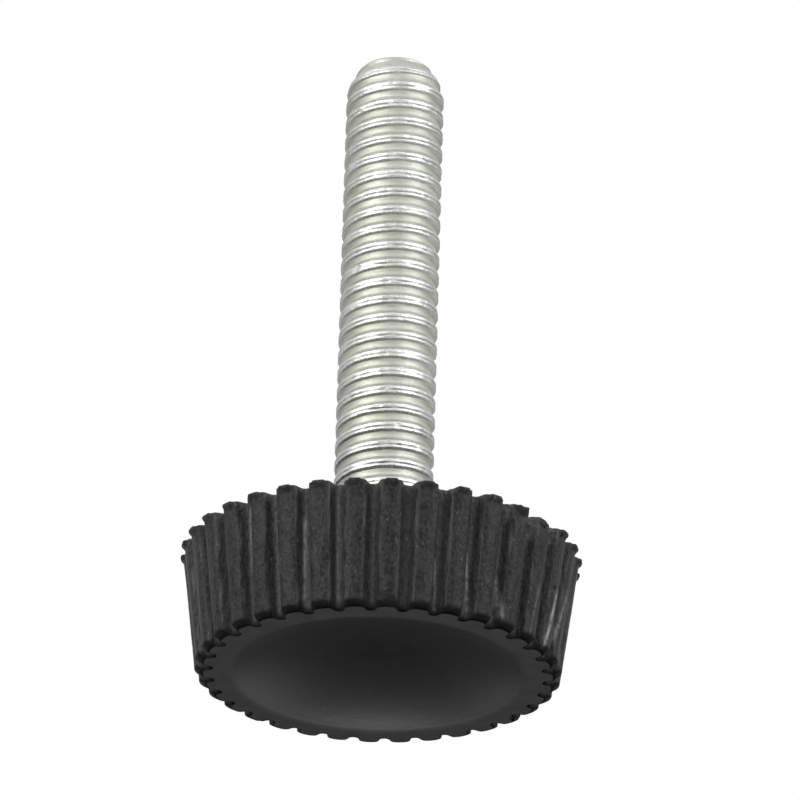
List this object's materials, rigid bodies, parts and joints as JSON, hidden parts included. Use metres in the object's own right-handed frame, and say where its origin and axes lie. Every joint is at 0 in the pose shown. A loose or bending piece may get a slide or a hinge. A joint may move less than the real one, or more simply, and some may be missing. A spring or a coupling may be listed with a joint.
{
  "type": "thumb screw",
  "caption": "Hand screw: a round moulded plastic grip head with a toothed wall and dished face on a threaded steel stud with a chamfered tip.",
  "frame": {"origin": "centre of the face rim's plane, on the stud's axis; the head stands on this plane", "axes": "+Z along the stud from the head to the tip; +X and +Y across the round head, +X through the middle of a tooth"},
  "size_m": [0.0254, 0.0254, 0.0426],
  "materials": {
    "black_plastic": "moulded black plastic, sandy on the toothed wall, smooth satin on the face",
    "zinc_steel": "bright zinc plate on rolled steel thread"
  },
  "bodies": {
    "root": {"knurled_head": "black_plastic", "threaded_stud": "zinc_steel"}
  },
  "joints": []
}
